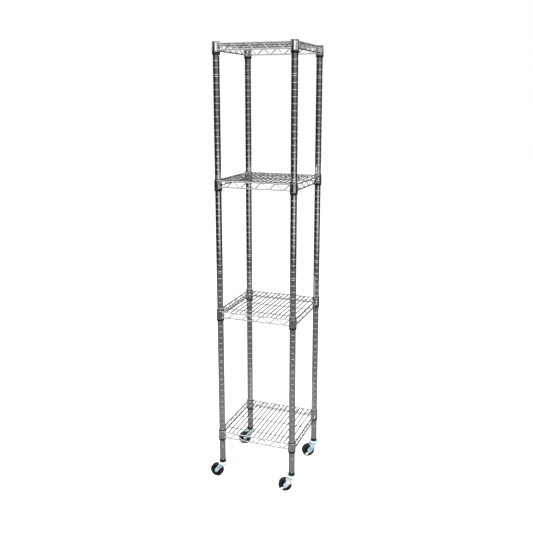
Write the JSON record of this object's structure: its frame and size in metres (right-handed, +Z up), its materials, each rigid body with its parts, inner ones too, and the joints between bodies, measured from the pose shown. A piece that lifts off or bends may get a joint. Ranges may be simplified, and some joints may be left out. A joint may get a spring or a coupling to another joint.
{
  "type": "wire shelving rack",
  "caption": "Tall square rack of welded wire shelves clipped to grooved round posts, on swivel stem casters with brakes on one side.",
  "frame": {"origin": "centre of the bounding box at floor level, under the middle of the rack", "axes": "+Z up along the posts, +X along the shelves' cross wires, +Y along the deck wires, away from the front"},
  "size_m": [0.3916, 0.3774, 1.8253],
  "materials": {
    "chrome": "polished chrome plate over steel",
    "cap": "grey moulded plastic",
    "sleeve": "black moulded plastic",
    "insert": "black moulded plastic",
    "zinc": "bright zinc plate",
    "fork": "bright plated pressed steel",
    "hub": "black moulded plastic",
    "tyre": "black rubber"
  },
  "bodies": {
    "rack": {"post_front_left": "chrome", "post_cap_front_left": "cap", "foot_insert_front_left": "insert", "caster_stem_front_left": "zinc", "sleeve_top_front_left": "sleeve", "sleeve_upper_front_left": "sleeve", "sleeve_lower_front_left": "sleeve", "sleeve_bottom_front_left": "sleeve", "post_front_right": "chrome", "post_cap_front_right": "cap", "foot_insert_front_right": "insert", "caster_stem_front_right": "zinc", "sleeve_top_front_right": "sleeve", "sleeve_upper_front_right": "sleeve", "sleeve_lower_front_right": "sleeve", "sleeve_bottom_front_right": "sleeve", "post_back_right": "chrome", "post_cap_back_right": "cap", "foot_insert_back_right": "insert", "caster_stem_back_right": "zinc", "sleeve_top_back_right": "sleeve", "sleeve_upper_back_right": "sleeve", "sleeve_lower_back_right": "sleeve", "sleeve_bottom_back_right": "sleeve", "post_back_left": "chrome", "post_cap_back_left": "cap", "foot_insert_back_left": "insert", "caster_stem_back_left": "zinc", "sleeve_top_back_left": "sleeve", "sleeve_upper_back_left": "sleeve", "sleeve_lower_back_left": "sleeve", "sleeve_bottom_back_left": "sleeve", "shelf_top": "chrome", "shelf_upper": "chrome", "shelf_lower": "chrome", "shelf_bottom": "chrome"},
    "caster_front_left": {"swivel_race_front_left": "zinc", "caster_fork_front_left": "fork", "caster_axle_front_left": "zinc"},
    "wheel_front_left": {"wheel_hub_front_left": "hub", "wheel_tyre_front_left": "tyre"},
    "caster_front_right": {"swivel_race_front_right": "zinc", "caster_fork_front_right": "fork", "caster_axle_front_right": "zinc", "brake_pivot_front_right": "zinc"},
    "wheel_front_right": {"wheel_hub_front_right": "hub", "wheel_tyre_front_right": "tyre"},
    "brake_front_right": {"brake_pedal_front_right": "fork"},
    "caster_back_right": {"swivel_race_back_right": "zinc", "caster_fork_back_right": "fork", "caster_axle_back_right": "zinc", "brake_pivot_back_right": "zinc"},
    "wheel_back_right": {"wheel_hub_back_right": "hub", "wheel_tyre_back_right": "tyre"},
    "brake_back_right": {"brake_pedal_back_right": "fork"},
    "caster_back_left": {"swivel_race_back_left": "zinc", "caster_fork_back_left": "fork", "caster_axle_back_left": "zinc"},
    "wheel_back_left": {"wheel_hub_back_left": "hub", "wheel_tyre_back_left": "tyre"}
  },
  "joints": [
    {"name": "swivel_front_left", "type": "hinge", "parent": "rack", "child": "caster_front_left", "pos_m": [-0.14085, -0.14798, 0.0645], "axis": [0, 0, 1], "continuous": true},
    {"name": "wheel_spin_front_left", "type": "hinge", "parent": "caster_front_left", "child": "wheel_front_left", "pos_m": [-0.16785, -0.14798, 0.028], "axis": [0, -1, 0], "continuous": true},
    {"name": "swivel_front_right", "type": "hinge", "parent": "rack", "child": "caster_front_right", "pos_m": [0.17535, -0.14798, 0.0645], "axis": [0, 0, 1], "continuous": true},
    {"name": "wheel_spin_front_right", "type": "hinge", "parent": "caster_front_right", "child": "wheel_front_right", "pos_m": [0.1494, -0.15542, 0.028], "axis": [0.2756, -0.9613, 0], "continuous": true},
    {"name": "brake_front_right_press", "type": "hinge", "parent": "caster_front_right", "child": "brake_front_right", "pos_m": [0.16093, -0.15212, 0.045], "axis": [0.2756, -0.9613, 0], "range_deg": [0, 6]},
    {"name": "swivel_back_right", "type": "hinge", "parent": "rack", "child": "caster_back_right", "pos_m": [0.17535, 0.16822, 0.0645], "axis": [0, 0, 1], "continuous": true},
    {"name": "wheel_spin_back_right", "type": "hinge", "parent": "caster_back_right", "child": "wheel_back_right", "pos_m": [0.15323, 0.15273, 0.028], "axis": [0.5736, -0.8192, 0], "continuous": true},
    {"name": "brake_back_right_press", "type": "hinge", "parent": "caster_back_right", "child": "brake_back_right", "pos_m": [0.16306, 0.15962, 0.045], "axis": [0.5736, -0.8192, 0], "range_deg": [0, 6]},
    {"name": "swivel_back_left", "type": "hinge", "parent": "rack", "child": "caster_back_left", "pos_m": [-0.14085, 0.16822, 0.0645], "axis": [0, 0, 1], "continuous": true},
    {"name": "wheel_spin_back_left", "type": "hinge", "parent": "caster_back_left", "child": "wheel_back_left", "pos_m": [-0.16532, 0.15681, 0.028], "axis": [0.4226, -0.9063, 0], "continuous": true}
  ]
}
